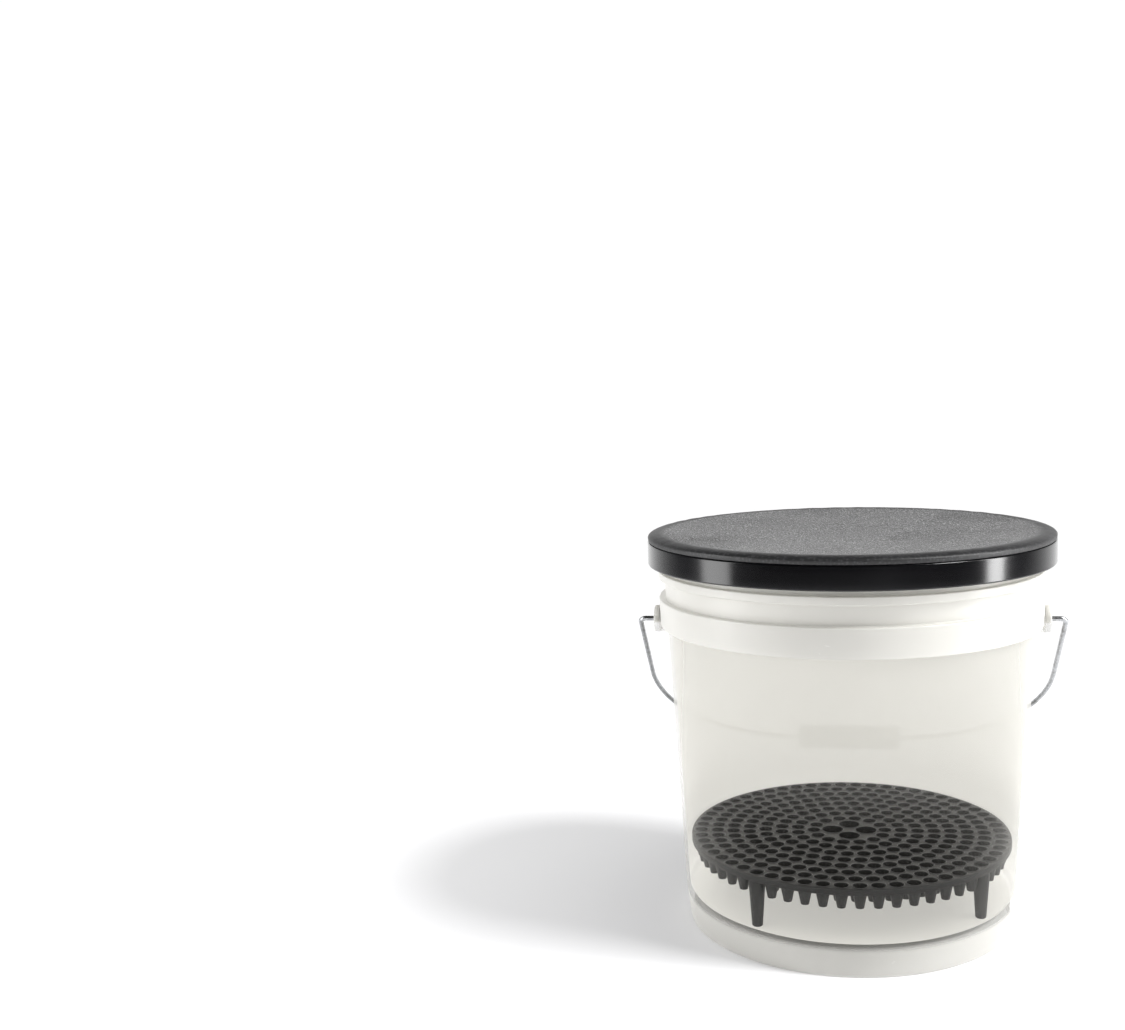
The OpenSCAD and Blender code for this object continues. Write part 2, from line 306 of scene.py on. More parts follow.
def shade_by_area(mesh):
    """Each vertex's normal is the sum of its faces' normals, each times the face's area."""
    mesh.polygons.foreach_set("use_smooth", np.ones(len(mesh.polygons), bool))
    mesh.update()
    corner = read(mesh.loops, "vertex_index", kind=np.int32)
    area, normal = read(mesh.polygons, "area"), read(mesh.polygons, "normal", 3)
    sides = read(mesh.polygons, "loop_total", kind=np.int32)
    weighted = np.repeat(normal * area[:, None], sides, axis=0)
    out = np.zeros((len(mesh.vertices), 3))
    for axis in range(3):
        out[:, axis] = np.bincount(corner, weighted[:, axis], len(mesh.vertices))
    out /= np.maximum(np.linalg.norm(out, axis=1), 1e-20)[:, None]
    mesh.normals_split_custom_set_from_vertices(out.tolist())


# ---------------- finishes


def add(tree, kind, out=0, props=None, **inputs):
    """Adds a shader node and gives its output.

    `in_0` is an input by its place, `Base_Color` by its name.
    """
    node = tree.nodes.new("ShaderNode" + kind)
    for key, value in (props or {}).items():
        setattr(node, key, value)
    for key, value in inputs.items():
        feed(tree, node, int(key[3:]) if key.startswith("in_") else key.replace("_", " "), value)
    return node.outputs[out]


def feed(tree, node, key, value):
    """Joins an output to a node's input, or sets a plain value on it."""
    if isinstance(value, bpy.types.NodeSocket):
        tree.links.new(value, node.inputs[key])
    else:
        node.inputs[key].default_value = value


def calc(tree, operation, *values, clamp=False):
    """A Math node on up to three values."""
    inputs = {f"in_{i}": v for i, v in enumerate(values)}
    props = {"operation": operation, "use_clamp": clamp}
    return add(tree, "Math", props=props, **inputs)


def times(tree, first, second, clamp=False):
    return calc(tree, "MULTIPLY", first, second, clamp=clamp)


def plus(tree, first, second, clamp=False):
    return calc(tree, "ADD", first, second, clamp=clamp)


def spread(tree, value, low, high, to_low=0.0, to_high=1.0):
    """A Map Range node with smooth steps, held within its ends."""
    return add(tree, "MapRange", props={"interpolation_type": "SMOOTHSTEP"},
               in_0=value, in_1=low, in_2=high, in_3=to_low, in_4=to_high)


def between(tree, factor, first, second):
    """A colour mix."""
    return add(tree, "Mix", 2, {"data_type": "RGBA"}, in_0=factor, in_6=first, in_7=second)


def noise(tree, where, scale, detail=3.0, roughness=0.55):
    return add(tree, "TexNoise", "Fac", Vector=where, Scale=scale, Detail=detail,
               Roughness=roughness)


def group(name, inputs, outputs, fill):
    """A shader node group, built once. `fill` gets the tree and the group's inputs by name."""
    if name in bpy.data.node_groups:
        return bpy.data.node_groups[name]
    tree = bpy.data.node_groups.new(name, "ShaderNodeTree")
    for key, (kind, default) in inputs.items():
        socket = tree.interface.new_socket(key, in_out="INPUT", socket_type=kind)
        if default is not None:
            socket.default_value = default
    for key, kind in outputs.items():
        tree.interface.new_socket(key, in_out="OUTPUT", socket_type=kind)
    source = tree.nodes.new("NodeGroupInput")
    result = tree.nodes.new("NodeGroupOutput")
    for key, value in fill(tree, source.outputs).items():
        tree.links.new(value, result.inputs[key])
    return tree


def placed(tree, made, **inputs):
    """Puts a node group into a material and gives its outputs."""
    node = tree.nodes.new("ShaderNodeGroup")
    node.node_tree = made
    for key, value in inputs.items():
        feed(tree, node, key.replace("_", " "), value)
    return node.outputs


FLOAT, COLOUR, VECTOR = "NodeSocketFloat", "NodeSocketColor", "NodeSocketVector"


def moulded_effect():
    """Moulded plastic: a slow drift of tone, a fine spark-eroded grain and short random scuffs."""

    def fill(tree, given):
        where = given["Position"]
        drift = noise(tree, where, given["Drift"], 2.0)
        grain = noise(tree, where, given["Grain"], 4.0, 0.7)
        speck = add(tree, "TexVoronoi", "Distance", Vector=where,
                    Scale=times(tree, given["Grain"], 0.8))
        height = plus(tree, times(tree, grain, 0.6), times(tree, speck, 0.4))
        stretch = add(tree, "Mapping", Vector=where, Rotation=(0.3, 0.5, 0.9),
                      Scale=(40.0, 900.0, 420.0))
        lines = spread(tree, noise(tree, stretch, 1.0, 5.0, 0.6), 0.66, 0.74)
        patch = spread(tree, noise(tree, where, 19.0, 2.0), 0.52, 0.66)
        scuff = times(tree, lines, patch)
        tone = between(tree, spread(tree, drift, 0.3, 0.7), given["Colour"], given["Second colour"])
        tone = between(tree, times(tree, scuff, given["Scuffs"]), tone, given["Scuff colour"])
        rough = plus(tree, given["Roughness"], times(tree, scuff, 0.18))
        rough = plus(tree, rough, times(tree, calc(tree, "SUBTRACT", drift, 0.5), 0.16))
        return {"Colour": tone, "Roughness": rough, "Height": height}

    inputs = {
        "Position": (VECTOR, None),
        "Colour": (COLOUR, (0.5, 0.5, 0.5, 1.0)),
        "Second colour": (COLOUR, (0.5, 0.5, 0.5, 1.0)),
        "Scuff colour": (COLOUR, (0.5, 0.5, 0.5, 1.0)),
        "Roughness": (FLOAT, 0.4),
        "Drift": (FLOAT, 12.0),
        "Grain": (FLOAT, 1500.0),
        "Scuffs": (FLOAT, 0.3),
    }
    outputs = {"Colour": COLOUR, "Roughness": FLOAT, "Height": FLOAT}
    return group("moulded plastic", inputs, outputs, fill)


def plated_effect():
    """Zinc plate: crystals of slightly different tone, fine drawing lines and dull spots."""

    def fill(tree, given):
        where = given["Position"]
        crystal = add(tree, "TexVoronoi", "Color", Vector=where, Scale=given["Crystal"])
        value = add(tree, "SeparateColor", "Red", Color=crystal)
        cloud = noise(tree, where, 160.0, 4.0)
        tone = between(tree, value, (0.42, 0.43, 0.44, 1), (0.60, 0.61, 0.62, 1))
        tone = between(tree, spread(tree, cloud, 0.5, 0.75), tone, (0.30, 0.30, 0.30, 1))
        rough = plus(tree, 0.24, times(tree, cloud, 0.22))
        height = noise(tree, where, 2200.0, 3.0)
        return {"Colour": tone, "Roughness": rough, "Height": height}

    inputs = {"Position": (VECTOR, None), "Crystal": (FLOAT, 900.0)}
    outputs = {"Colour": COLOUR, "Roughness": FLOAT, "Height": FLOAT}
    return group("zinc plate", inputs, outputs, fill)


def new_material(name):
    """A material with a Principled shader. Gives the material, its tree, shader and position."""
    made = bpy.data.materials.new(name)
    made.use_nodes = True
    tree = made.node_tree
    shader = next(n for n in tree.nodes if n.type == "BSDF_PRINCIPLED")
    where = add(tree, "TexCoord", "Object")
    return made, tree, shader, where


def wire_up(tree, shader, values):
    """Joins outputs to the shader's sockets, or sets plain numbers on them."""
    for key, value in values.items():
        feed(tree, shader, key, value)


def bumped(tree, height, distance):
    return add(tree, "Bump", "Normal", Height=height, Distance=distance, Strength=1.0)


def with_alpha(colour):
    return (*colour, 1.0)


def shade_of(colour, factor):
    return tuple(min(1.0, c * factor) for c in colour) + (1.0,)


def moulded_material(name, colour, roughness, grain=1500.0, depth=0.02, scuffs=0.3, dark=0.8,
                     scuff_colour=(0.5, 0.5, 0.5), **extra):
    """Plain moulded plastic with the shared moulded effect."""
    made, tree, shader, where = new_material(name)
    look = placed(tree, moulded_effect(), Position=where, Colour=with_alpha(colour),
                  Second_colour=shade_of(colour, dark), Scuff_colour=with_alpha(scuff_colour),
                  Roughness=roughness, Grain=grain, Scuffs=scuffs)
    wire_up(tree, shader, {
        "Base Color": look["Colour"],
        "Roughness": look["Roughness"],
        "Normal": bumped(tree, look["Height"], depth * MM),
        **extra,
    })
    return made, tree, shader, where, look


def pail_material(name, colour, outer):
    """Milky plastic that is clear low down and cloudier higher up.

    The skin lets its own far side through, and the lining is nearly clear from behind, so that the
    two faces of the wall together look like one milky sheet from either side.
    """
    made, tree, shader, where, _ = moulded_material(
        name, colour, 0.34, grain=900.0, depth=0.012, scuffs=0.5, dark=0.955,
        scuff_colour=(0.93, 0.92, 0.90))
    height = add(tree, "SeparateXYZ", "Z", Vector=where)
    cloudy = spread(tree, height, CLEAR_TOP, MILKY_FROM)
    behind = add(tree, "NewGeometry", "Backfacing")
    if outer:
        slant = calc(tree, "POWER", add(tree, "LayerWeight", "Facing", Blend=0.5), 3.0)
        foot = spread(tree, height, 26 * MM, 20 * MM, 0.004, 0.55)
        haze = spread(tree, height, HAZE_FROM, CLEAR_TOP, 0.0, 0.20)
        cloudy_front = plus(tree, haze, times(tree, cloudy, 0.66))
        front = calc(tree, "MAXIMUM", foot, cloudy_front)
        front = plus(tree, front, times(tree, slant, 0.5), clamp=True)
        back = 0.3
    else:
        front = spread(tree, height, 30 * MM, 70 * MM, 0.80, 0.93)
        back = times(tree, cloudy, 0.30)
    alpha = add(tree, "Mix", 0, {"data_type": "FLOAT"}, in_0=behind, in_2=front, in_3=back)
    # Painted glow: the emission gives both faces a glow in the plastic's colour that stands in for
    # light let through the wall. It is full on the floor, about a fifth dimmer up the wall, dimmer
    # still in the milky top, and faint on the skin.
    glow_dimming = spread(tree, height, 26 * MM, 45 * MM, 0.0, 0.21)
    glow_dimming = plus(tree, glow_dimming, times(tree, cloudy, 0.4))
    painted_glow = between(tree, glow_dimming, with_alpha(colour), (0.0, 0.0, 0.0, 1.0))
    wire_up(tree, shader, {
        "Alpha": alpha,
        "IOR": 1.5,
        "Emission Color": painted_glow,
        "Emission Strength": 0.02 if outer else 0.80,
    })
    return made


def vinyl_material(name, colour):
    """Coarse grained vinyl: round pebbles of about a millimetre, flatter and duller on the roll."""
    made, tree, shader, where = new_material(name)
    warp = noise(tree, where, 260.0, 2.0)
    moved = add(tree, "VectorMath", props={"operation": "ADD"}, in_0=where,
                in_1=add(tree, "VectorMath", props={"operation": "SCALE"},
                         in_0=add(tree, "CombineXYZ", X=warp, Y=warp, Z=warp), Scale=0.0012))
    pebble = add(tree, "TexVoronoi", "Distance", {"feature": "SMOOTH_F1"}, Vector=moved,
                 Scale=430.0, Smoothness=0.3)
    fine = add(tree, "TexVoronoi", "Distance", Vector=moved, Scale=1100.0)
    apart = add(tree, "SeparateXYZ", Vector=where)
    x, y = apart, apart.node.outputs["Y"]
    radius = calc(tree, "SQRT", plus(tree, times(tree, x, x), times(tree, y, y)))
    on_top = spread(tree, radius, 0.1520, 0.1440)
    height = plus(tree, times(tree, pebble, -1.0), times(tree, fine, -0.30))
    height = times(tree, height, plus(tree, times(tree, on_top, 0.9), 0.1))
    cloud = noise(tree, where, 22.0, 3.0)
    worn = spread(tree, noise(tree, where, 9.0, 4.0), 0.45, 0.75)
    # Painted highlight and shade: each pebble's top is painted lighter and the gaps between the
    # pebbles darker.
    low, high = shade_of(colour, 0.6), shade_of(colour, 2.4)
    tone = between(tree, spread(tree, pebble, 0.10, 0.55), high, low)
    tone = between(tree, times(tree, cloud, 0.45), tone, shade_of(colour, 1.25))
    # Painted glints: pale grey specks on the top that stand in for light caught by the grain.
    painted_glint = spread(tree, noise(tree, where, 750.0, 1.0), 0.52, 0.68)
    tone = between(tree, times(tree, painted_glint, on_top), tone, (0.34, 0.34, 0.34, 1))
    rough = plus(tree, 0.36, times(tree, worn, 0.12))
    rough = plus(tree, rough, times(tree, calc(tree, "SUBTRACT", 1.0, on_top), 0.10))
    wire_up(tree, shader, {
        "Base Color": tone,
        "Roughness": rough,
        "Normal": bumped(tree, height, 1.1 * MM),
        "Specular IOR Level": 0.6,
    })
    return made


def plated_material(name, crystal=900.0):
    made, tree, shader, where = new_material(name)
    look = placed(tree, plated_effect(), Position=where, Crystal=crystal)
    wire_up(tree, shader, {
        "Base Color": look["Colour"],
        "Roughness": look["Roughness"],
        "Metallic": 1.0,
        "Normal": bumped(tree, look["Height"], 0.006 * MM),
    })
    return made


def rubber_material(name):
    return moulded_material(name, (0.018, 0.018, 0.018), 0.68, grain=1800.0, depth=0.03, scuffs=0.2,
                            dark=1.5, scuff_colour=(0.09, 0.09, 0.09))[0]


def board_material(name):
    """Hardboard: pressed fibres in two browns."""
    made, tree, shader, where = new_material(name)
    stretch = add(tree, "Mapping", Vector=where, Rotation=(0, 0, 0.4),
                  Scale=(300.0, 900.0, 900.0))
    fibre = noise(tree, stretch, 1.0, 6.0, 0.7)
    patch = noise(tree, where, 60.0, 4.0)
    tone = between(tree, fibre, (0.10, 0.052, 0.026, 1), (0.30, 0.18, 0.095, 1))
    tone = between(tree, times(tree, patch, 0.6), tone, (0.19, 0.105, 0.052, 1))
    wire_up(tree, shader, {
        "Base Color": tone,
        "Roughness": plus(tree, 0.62, times(tree, fibre, 0.25)),
        "Normal": bumped(tree, fibre, 0.05 * MM),
    })
    return made


def foam_material(name):
    """Open-cell foam: small pores in pale yellow."""
    made, tree, shader, where = new_material(name)
    pore = add(tree, "TexVoronoi", "Distance", Vector=where, Scale=900.0)
    patch = noise(tree, where, 30.0, 3.0)
    tone = between(tree, spread(tree, pore, 0.0, 0.6), (0.34, 0.27, 0.11, 1), (0.66, 0.56, 0.28, 1))
    tone = between(tree, times(tree, patch, 0.4), tone, (0.70, 0.60, 0.36, 1))
    wire_up(tree, shader, {
        "Base Color": tone,
        "Roughness": plus(tree, 0.82, times(tree, pore, 0.1)),
        "Normal": bumped(tree, pore, 0.3 * MM),
    })
    return made


def repaint(node, material):
    """A CAD node keeps its shape and takes a finish."""
    piece = frame["nodes"][node]
    piece.data.materials.clear()
    piece.data.materials.append(material)


# ---------------- operators


def metres(points):
    return np.asarray(points, float) * MM


def turned_line(points, steps, around):
    """An outline of (radius, height, easing) points in millimetres, eased and turned about +Z."""
    line = np.array(points)
    return turned(metres(rounded(line[:, :2], line[:, 2], steps)), around)


def lay_along_x(shape):
    """Turns a shape made about +Z so that it lies along +X."""
    verts, faces = shape
    return verts[:, [2, 0, 1]], faces


def moved(shape, by):
    return shape[0] + np.asarray(by, float), shape[1]


def mirrored(shape):
    """The same shape across the X = 0 plane, with its faces turned round to point outwards."""
    return shape[0] * [-1, 1, 1], shape[1][:, ::-1]


class BUCKET_OT_pail(bpy.types.Operator):
    """Makes the pail: a turned wall with a collar, a flange, a rim, a floor, a foot and two ears"""

    bl_idname = "bucket.pail"
    bl_label = "Pail"

    def execute(self, context):
        s = context.scene.bucket_pail
        wall = s.wall / MM
        foot = s.foot_radius / MM
        top = PAIL_HIGH.z / MM

        def out(z):
            return s.wall_base_radius / MM + s.draft * z

        outside = [
            (foot - wall - 1, 0, .5), (foot, 0, 1.4), (foot + 1.7, 12, 3), (out(25), 25, 3),
            (out(244), 244, 0), (out(263), 263, 0),
            (out(265.6), 265.6, 1.2), (out(268) + 3.5, 265.6, 1.0), (out(245) + 3.5, 245, .6),
            (out(245) + 5.5, 245, .6), (out(268) + 5.5, 268, 1.4), (out(268), 268, .9),
            (out(283.5), 283.5, .9), (out(283.5) + 4.5, 283.5, 1.0), (out(290) + 4.5, 290, 1.0),
            (out(290), 290, .9), (out(297.6), 297.6, .9), (154, 297.6, .8), (154, 295, .6),
            (156, 295, .6), (156, top, 1.2), (out(top) - wall, top, 1.2),
        ]
        inside = [
            (out(270) - wall, 270, 0), (out(230) - wall, 230, 0), (out(150) - wall, 150, 0),
            (out(90) - wall, 90, 0), (out(25) - wall, 25, 5),
            (60, 25, 0), (0, 25, 0), (0, 21.4, 0), (4, 21.4, .4), (5, 22, .4), (60, 22, 0),
            (foot - wall, 22, 1.5),
        ]
        body = turned_line(outside + inside, 4, s.around)
        ear = joined(*self.ear_parts())
        shape = joined(body, ear, mirrored(ear))
        middle = s.wall_base_radius - s.wall / 2
        floor = 23.5 * MM

        def lining(centre):
            x, y, z = centre.T
            return (np.hypot(x, y) < middle + s.draft * z) & (z > floor) & (z < top * MM - 1e-4)

        finishes = [pail_material("pail skin", s.colour, True),
                    pail_material("pail lining", s.colour, False)]
        make_piece("pail_body", shape, "pail", finishes, PAIL_NODES, slots_of=lining)
        return {"FINISHED"}

    def ear_parts(self):
        """Two turned plates about the pivot's axis, and between them a horseshoe.

        The horseshoe's inner line is the pocket's circle above the axis, and below it the slot's two
        upright sides: r = pocket / cos a.
        """
        _, y, z = PIVOT
        back = np.array([(0, 144.6), (11, 144.6), (11, 147.7), (0, 147.7)])
        plate = rounded([(2.05, 152.8), (11, 152.8), (11, 157.5), (2.05, 157.5)], [0, 0, 1.2, .5], 4)
        a = np.radians(np.linspace(-66.4, 246.4, 73))
        side = np.where(np.sin(a) < 0, np.maximum(np.abs(np.cos(a)), 0.4), 1)
        inner = 4.4 / side
        outer = np.full(len(a), 11.0)
        r = np.stack([inner, outer, outer, inner], 1)
        x = np.broadcast_to([147.4, 147.4, 153, 153], r.shape)
        verts = np.stack([x, r * np.cos(a)[:, None], r * np.sin(a)[:, None]], -1).reshape(-1, 3)
        shoe = verts * MM, grid_faces(len(a), 4)
        back = lay_along_x(turned(metres(back), 48, False))
        plate = lay_along_x(turned(metres(plate), 48))
        return [moved(part, (0, y, z)) for part in (back, plate, shoe)]


def stood(profile, around, places, turns):
    """A profile turned about +Z and stood at each place, with its start at each turn.

    Gives the shape, and the first and last ring of every copy.
    """
    a = turns[:, None] + np.arange(around)[None] * TAU / around
    r, z = profile[:, 0], profile[:, 1]
    x = places[:, None, None, 0] + r[None, :, None] * np.cos(a)[:, None]
    y = places[:, None, None, 1] + r[None, :, None] * np.sin(a)[:, None]
    verts = np.stack([x, y, np.broadcast_to(z[None, :, None], x.shape)], -1)
    faces = grid_faces(len(profile), around)
    shift = np.arange(len(places))[:, None, None] * len(profile) * around
    return (verts.reshape(-1, 3), (faces[None] + shift).reshape(-1, 4)), verts[:, 0], verts[:, -1]


def infill(edge, loops, holes, height, up):
    """A flat sheet inside `edge` and outside every loop: Delaunay triangles between their points."""
    rings = [edge] + [ring for group in loops for ring in group]
    points = np.concatenate(rings)[:, :2]
    starts = np.cumsum([0] + [len(r) for r in rings])
    borders = [(int(s + i), int(s + (i + 1) % len(r)))
               for s, r in zip(starts, rings) for i in range(len(r))]
    found = mathutils.geometry.delaunay_2d_cdt(points.tolist(), borders, [], 0, 1e-9)
    points, faces = np.array(found[0]), np.array(found[2])
    middle = points[faces].mean(1)
    centres = np.array([h[:2] for h in holes])
    reach = np.array([h[2] for h in holes])
    far = np.linalg.norm(middle[:, None] - centres[None], axis=2) > reach[None]
    inside = np.hypot(*middle.T) < np.hypot(*edge[0, :2])
    faces = faces[far.all(1) & inside]
    corner = points[faces]
    side, other = corner[:, 1] - corner[:, 0], corner[:, 2] - corner[:, 0]
    up_now = side[:, 0] * other[:, 1] - side[:, 1] * other[:, 0] > 0
    faces = np.where((up_now == up)[:, None], faces, faces[:, ::-1])
    verts = np.concatenate([points, np.full((len(points), 1), height)], 1)
    return verts, np.concatenate([faces, np.full((len(faces), 1), -1)], 1)


class BUCKET_OT_guard(bpy.types.Operator):
    """Makes the sediment guard: a plate with rings of open cones, four wells and four legs"""

    bl_idname = "bucket.guard"
    bl_label = "Sediment guard"

    def execute(self, context):
        s = context.scene.bucket_guard
        top, foot, edge = GUARD_HIGH.z, GUARD_LOW.z, GUARD_HIGH.x
        plate = top - 3 * MM
        mouth, tip = s.mouth, s.tip

        turns, places, legs = [], [], []
        for k, count in enumerate(RINGS):
            a = RING_TURN + np.arange(count) * TAU / count
            turns.append(a)
            places.append(np.stack([np.cos(a), np.sin(a)], 1) * edge * (RING_START + RING_STEP * k))
            legs.append((np.arange(count) % 14 == 0) & (k == len(RINGS) - 1))
        turns, places, legs = np.concatenate(turns), np.concatenate(places), np.concatenate(legs)
        quarter = np.arange(4) * TAU / 4
        well_at = np.stack([np.cos(quarter), np.sin(quarter)], 1) * edge * WELL_RING

        lip = [(mouth + .6 * MM, top), (mouth + .42 * MM, top + .45 * MM),
               (mouth + .05 * MM, top + .3 * MM)]
        cone = np.array([*lip, (tip, top - s.length), (tip + .9 * MM, top - s.length),
                         (mouth + .4 * MM, plate)])
        leg = np.array([*lip, (2.6 * MM, foot + 4.2 * MM), (0, foot + 4 * MM)])
        sole = np.array([(0, foot), (3.5 * MM, foot), (4.2 * MM, foot + .7 * MM),
                         (6.5 * MM, plate - 5 * MM), (6.0 * MM, plate - 2.6 * MM), (6.0 * MM, plate)])
        well_lip = metres([(9.2, 0), (9.0, .5), (8.65, .35)]) + [0, top]
        low = top - 14 * MM
        open_well = np.concatenate([well_lip, [(7.7 * MM, low), (8.3 * MM, low), (9.2 * MM, plate)]])
        bowl = metres([(8.0, -9), (6.9, -11.6), (4.6, -12.7), (0, -13)]) + [0, top]
        shut_well = np.concatenate([well_lip, bowl])
        under = metres([(0, -14), (4.9, -13.7), (7.6, -12.4), (8.6, -9.5), (9.2, -3)]) + [0, top]

        parts, tops, lows, marks = [], [], [], []

        def put(profile, around, at, turn, up, down):
            shape, first, last = stood(profile, around, at, turn)
            parts.append(shape)
            row = np.arange(len(profile))
            bore = (row > 2) & (row < len(profile) - 2 * down) & up
            marks.append(np.tile(np.repeat(bore.astype(float), around), len(at)))
            if up:
                tops.append(first)
            if down:
                lows.append(last)

        # A part with a mouth has three rows of lip, then its bore, and if open two rows of outside
        put(cone, 16, places[~legs], turns[~legs], True, True)
        put(leg, 24, places[legs], turns[legs], True, False)
        put(sole, 24, places[legs], turns[legs], False, True)
        put(open_well, 28, well_at[1::2], quarter[1::2], True, True)
        put(shut_well, 28, well_at[::2], quarter[::2], True, False)
        put(under, 28, well_at[::2], quarter[::2], False, True)

        around = 192
        band = metres([(1.8, -3), (1.8, -4.8), (1.6, -5), (.3, -5), (0, -4.7), (0, -.9), (.3, -.25),
                       (.9, 0)])
        band = np.stack([edge - band[:, 0], top + band[:, 1]], 1)
        rim = turned(band, around, False)
        parts.append(rim)
        outer, inner = rim[0][-around:], rim[0][:around]
        holes = [(*p, mouth + .2 * MM) for p in places] + [(*p, 8.4 * MM) for p in well_at]
        parts.append(infill(outer, tops, holes, top, True))
        parts.append(infill(inner, lows, holes, plate, False))
        shape = joined(*parts)
        lips = np.clip((shape[0][:, 2] - top) / (0.3 * MM), 0, 1)
        bores = np.concatenate([*marks, np.zeros(len(shape[0]) - sum(map(len, marks)))])
        make_piece("guard_plate", shape, "guard", [guard_material(s.colour)],
                   ["sediment_guard"], {"lip": lips, "bore": bores})
        return {"FINISHED"}


def guard_material(colour):
    """Dark grey satin plastic with a painted highlight on its raised lips and painted shade, near
    black, in its bores.
    """
    made, tree, shader, where, look = moulded_material(
        "guard plastic", colour, 0.40, grain=1300.0, depth=0.03, scuffs=0.5, dark=1.35,
        scuff_colour=(0.10, 0.10, 0.10))
    lip = add(tree, "Attribute", "Fac", {"attribute_name": "lip"})
    # Painted highlight: the raised lips are painted a lighter grey, unevenly, where they would catch
    # the light.
    lip_highlight = times(tree, lip, plus(tree, 0.35, noise(tree, where, 45.0, 3.0)))
    tone = between(tree, times(tree, lip_highlight, 0.8, clamp=True), look["Colour"], (0.24, 0.24, 0.245, 1))
    # Painted shade: below their lips, the insides of the cones, leg cups and wells are painted nearly
    # black.
    bore_shade = spread(tree, add(tree, "Attribute", "Fac", {"attribute_name": "bore"}), 0.0, 0.05)
    tone = between(tree, times(tree, bore_shade, 0.93), tone, (0.0025, 0.0025, 0.0025, 1))
    wire_up(tree, shader, {"Base Color": tone})
    return made


class BUCKET_OT_bail(bpy.types.Operator):
    """Makes the bail: a bent wire with headed ends, and a grooved grip that rolls on it"""

    bl_idname = "bucket.bail"
    bl_label = "Bail and grip"

    def execute(self, context):
        s = context.scene.bucket_bail
        pivot, grip_at = np.array(PIVOT), np.array(GRIP_AT)
        along = grip_at - pivot
        reach = np.linalg.norm(along)
        along = along / reach
        half = WIRE_HIGH.x - s.wire
        level, side = np.array([1.0, 0, 0]), np.cross([1.0, 0, 0], along)
        pin_bend = 5 * MM
        points, radii = self.half_path(half, reach, s.bend, pin_bend, s.wire)
        points = np.concatenate([points, (points * [-1, 1])[::-1]])
        radii = np.concatenate([radii, radii[::-1]])
        step = np.gradient(points, axis=0)
        for _ in range(2):
            still = np.hypot(*step.T) < 1e-9
            step[still] = np.roll(step, 1, 0)[still]
        step /= np.maximum(np.hypot(*step.T), 1e-9)[:, None]
        path = pivot + points[:, :1] * level + points[:, 1:] * along
        across = -step[:, 1:] * level + step[:, :1] * along
        wire = swept(path, across, side, radii, 20)
        make_piece("bail_rod", (wire[0], wire[1][:, ::-1]), "bail",
                   [plated_material("zinc wire", 700.0)], ["bail_wire"])

        half_len = GRIP_HIGH.x / MM
        outline = [(2.05, -half_len, .3), (9.6, -half_len, 1.4), (11, -half_len + 2, 1.6)]
        for middle in np.arange(1, 6) * half_len / 3 - half_len:
            outline += [(11, middle - 2.2, .7), (10.2, middle - 1.4, .7), (10.2, middle + 1.4, .7),
                        (11, middle + 2.2, .7)]
        outline += [(11, half_len - 2, 1.6), (9.6, half_len, 1.4), (2.05, half_len, .3)]
        grip = lay_along_x(turned_line(outline, 3, 64))
        make_piece("roller_grip", moved(grip, grip_at), "grip",
                   [moulded_material("grip plastic", s.colour, 0.42, grain=1400.0, depth=0.035,
                                     scuffs=0.7, dark=1.3, scuff_colour=(0.14, 0.14, 0.14))[0]],
                   ["grip"])
        return {"FINISHED"}

    def half_path(self, half, reach, bend, pin_bend, wire):
        """Half the wire in its own plane: head, pin, tight bend, straight side and large bend."""
        head = 3.4 * MM
        pin = np.zeros((7, 2))
        pin[:, 0] = metres([150.6, 150.6, 150.9, 152.1, 152.4, 152.45, 158])
        sizes = [0, head - .3 * MM, head, head, head - .3 * MM, wire, wire]
        small = arc((half - pin_bend, pin_bend), pin_bend, -90, 0, 8)
        straight = np.stack([np.full(5, half), np.linspace(pin_bend, reach - bend, 7)[1:-1]], 1)
        large = arc((half - bend, reach - bend), bend, 0, 90, 40)
        level = np.stack([np.linspace(half - bend, 0, 5)[1:-1], np.full(3, reach)], 1)
        points = np.concatenate([pin, small, straight, large, level])
        return points, np.concatenate([sizes, np.full(len(points) - len(pin), wire)])


